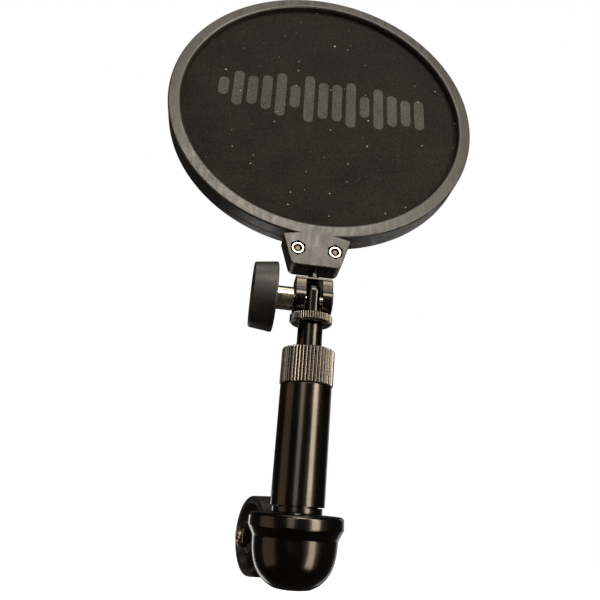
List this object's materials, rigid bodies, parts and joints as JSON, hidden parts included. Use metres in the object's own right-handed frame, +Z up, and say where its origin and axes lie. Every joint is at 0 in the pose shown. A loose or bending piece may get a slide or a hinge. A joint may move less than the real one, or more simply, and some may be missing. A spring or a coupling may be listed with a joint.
{
  "type": "pop filter",
  "caption": "Round two-cloth pop filter screen on a clevis hinge and short telescopic rod, with a bell base that tilts on a threaded stand adapter.",
  "frame": {"origin": "centre of the flat end of the stand adapter's threaded socket, which opens downwards", "axes": "+Z up along the rod, -Y out of the front of the screen, +X along the head hinge away from its knob"},
  "size_m": [0.15, 0.0682, 0.2923],
  "materials": {
    "frame_plastic": "fine satin moulding grain",
    "cloth": "fine matt woven nylon",
    "knob_plastic": "dry matt, slightly dusty",
    "black_metal": "glossy black coat",
    "satin_black": "satin black, knurled",
    "nickel": "bright nickel plate",
    "inner_plastic": "plain moulded"
  },
  "bodies": {
    "stand": {"stand_adapter": "black_metal", "base_bolt": "nickel", "base_washer_left": "nickel", "base_washer_right": "nickel", "base_knob_nut": "nickel"},
    "base_knob": {"base_knob": "knob_plastic", "base_knob_bush": "nickel"},
    "arm": {"bell": "black_metal", "bell_screw": "nickel", "neck_plug": "black_metal", "outer_tube": "black_metal", "collet": "inner_plastic"},
    "collar": {"clutch_collar": "satin_black"},
    "slider": {"inner_tube": "black_metal", "guide_bush": "inner_plastic"},
    "stem": {"stem_eye": "black_metal"},
    "lock": {"lock_ring": "satin_black"},
    "head": {"front_hoop": "frame_plastic", "rear_hoop": "frame_plastic", "front_mesh": "cloth", "rear_mesh": "cloth", "mesh_spacer_ring": "inner_plastic", "hoop_screw_left": "nickel", "hoop_nut_left": "nickel", "hoop_screw_right": "nickel", "hoop_nut_right": "nickel", "clevis_fork": "black_metal", "hinge_stud": "nickel", "hinge_washer": "nickel", "hinge_knob_nut": "nickel"},
    "hinge_knob": {"hinge_knob": "knob_plastic", "hinge_bush": "nickel"}
  },
  "joints": [
    {"name": "base_tilt", "type": "hinge", "parent": "stand", "child": "arm", "pos_m": [0, 0, 0.0101], "axis": [0.9455, 0.3256, 0], "range_deg": [-90, 10]},
    {"name": "base_knob_turn", "type": "hinge", "parent": "stand", "child": "base_knob", "pos_m": [0, 0, 0.0101], "axis": [0.9455, 0.3256, 0], "range_deg": [-180, 180]},
    {"name": "clutch_collar_turn", "type": "hinge", "parent": "arm", "child": "collar", "pos_m": [-0.00534, -0.03917, 0.0766], "axis": [0, 0, 1], "range_deg": [-90, 90]},
    {"name": "rod_slide", "type": "slide", "parent": "arm", "child": "slider", "axis": [0, 0, 1], "range_m": [-0.01, 0.024]},
    {"name": "stem_swivel", "type": "hinge", "parent": "slider", "child": "stem", "pos_m": [-0.00534, -0.03917, 0.0906], "axis": [0, 0, 1], "range_deg": [-180, 180]},
    {"name": "lock_ring_turn", "type": "hinge", "parent": "stem", "child": "lock", "pos_m": [-0.00534, -0.03917, 0.097], "axis": [0, 0, 1], "range_deg": [-180, 180]},
    {"name": "head_tilt", "type": "hinge", "parent": "stem", "child": "head", "pos_m": [-0.00534, -0.03917, 0.1056], "axis": [1, 0, 0], "range_deg": [-80, 95]},
    {"name": "hinge_knob_turn", "type": "hinge", "parent": "head", "child": "hinge_knob", "pos_m": [-0.00534, -0.03917, 0.1056], "axis": [1, 0, 0], "range_deg": [-180, 180]}
  ]
}
